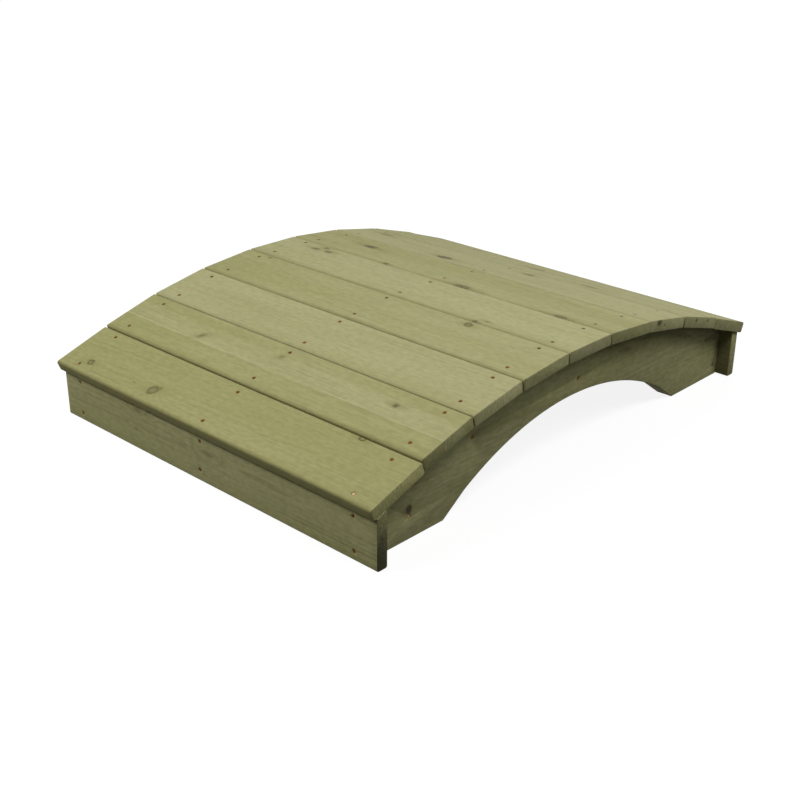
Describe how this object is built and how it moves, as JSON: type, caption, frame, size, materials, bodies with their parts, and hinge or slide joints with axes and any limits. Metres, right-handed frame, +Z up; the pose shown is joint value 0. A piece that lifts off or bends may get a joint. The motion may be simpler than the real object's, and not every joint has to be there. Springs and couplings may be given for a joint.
{
  "type": "arched garden footbridge",
  "caption": "Low arched garden footbridge of green-stained timber: planks laid across arch-cut stringers, with a board closing each end. No handrails.",
  "frame": {"origin": "middle of the footprint on the ground, under the crown of the arch", "axes": "+X along the span towards the rear end board, +Y across the deck towards the left stringer, +Z up"},
  "size_m": [1.206, 0.914, 0.2452],
  "materials": {
    "deck_wood": "semi-transparent olive-green stain on planed softwood, matt",
    "stringer_wood": "semi-transparent olive-green stain on sawn softwood, matt",
    "end_wood": "semi-transparent olive-green stain on planed softwood, matt"
  },
  "bodies": {
    "root": {"deck_plank_1": "deck_wood", "deck_plank_2": "deck_wood", "deck_plank_3": "deck_wood", "deck_plank_4": "deck_wood", "deck_plank_5": "deck_wood", "deck_plank_6": "deck_wood", "deck_plank_7": "deck_wood", "deck_plank_8": "deck_wood", "deck_plank_9": "deck_wood", "left_stringer": "stringer_wood", "middle_stringer": "stringer_wood", "right_stringer": "stringer_wood", "front_end_board": "end_wood", "rear_end_board": "end_wood"}
  },
  "joints": []
}
